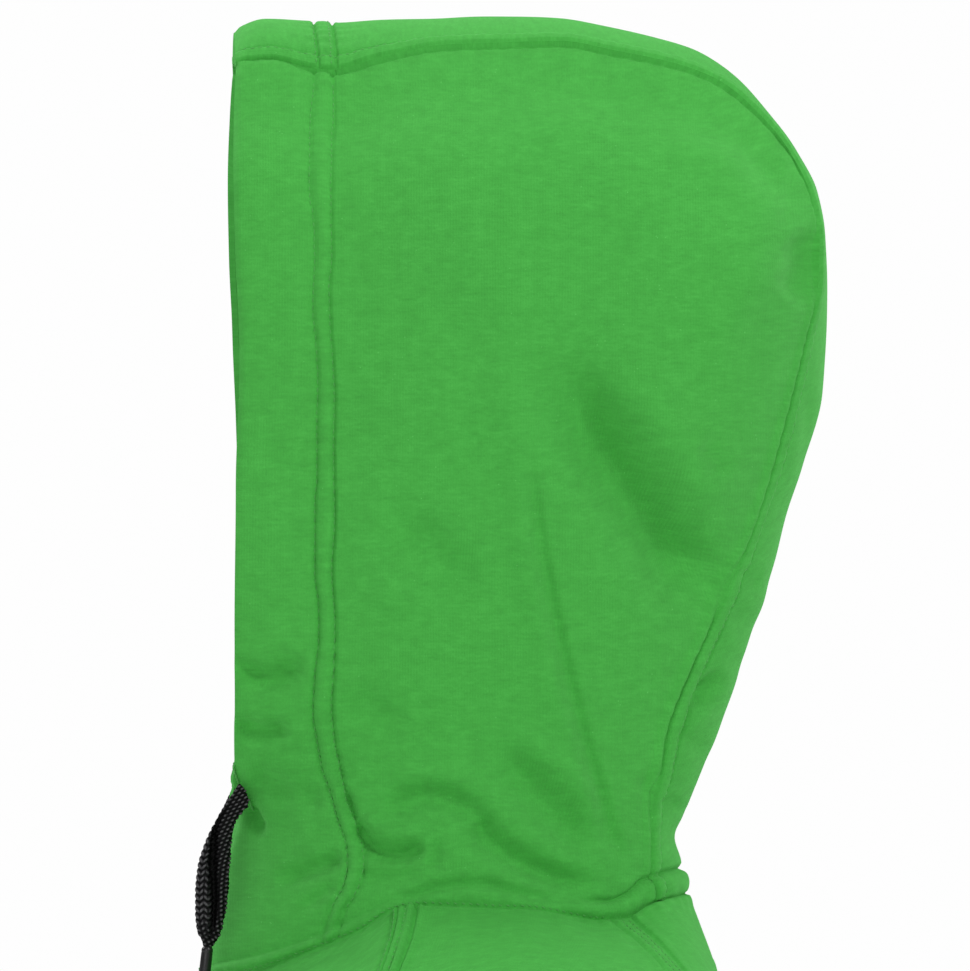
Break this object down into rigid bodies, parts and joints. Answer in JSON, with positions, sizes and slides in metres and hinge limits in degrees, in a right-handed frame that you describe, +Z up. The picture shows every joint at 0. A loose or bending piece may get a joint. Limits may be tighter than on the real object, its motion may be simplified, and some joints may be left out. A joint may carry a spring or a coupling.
{
  "type": "zip-up hoodie",
  "caption": "Zip-up hooded sweatshirt filled out as worn with its hood up: three-panel hood with drawcord, raglan sleeves, ribbed cuffs and hem band, closed front zip.",
  "frame": {"origin": "middle of the base of the wearer's neck, level with the neck seam over the shoulders", "axes": "+Z up, the garment's front faces -Y, +X towards the wearer's left"},
  "size_m": [0.7314, 0.2999, 1.0312],
  "materials": {
    "knit": "brushed green sweatshirt knit with fine wales and a faint melange",
    "rib_knit": "green ribbed knit",
    "zip_tape": "woven green tape",
    "zip_teeth": "moulded green teeth",
    "zip_metal": "plain satin metal",
    "cord_braid": "flat black braid",
    "cord_tip": "smooth black sleeve"
  },
  "bodies": {
    "garment": {"hood_left": "knit", "hood_right": "knit", "hood_centre": "knit", "front_left": "knit", "front_right": "knit", "back": "knit", "sleeve_left": "knit", "sleeve_right": "knit", "cuff_left": "rib_knit", "cuff_right": "rib_knit", "hem_band": "rib_knit", "zip_tape_left": "zip_tape", "zip_tape_right": "zip_tape", "zip_chain": "zip_teeth", "zip_slider": "zip_metal", "cord_left": "cord_braid", "cord_right": "cord_braid", "aglet_left": "cord_tip", "aglet_right": "cord_tip"},
    "pull": {"zip_pull": "zip_metal"}
  },
  "joints": [
    {"name": "pull_swing", "type": "hinge", "parent": "garment", "child": "pull", "pos_m": [0, -0.10555, -0.03494], "axis": [-1, 0, 0], "range_deg": [0, 150]}
  ]
}
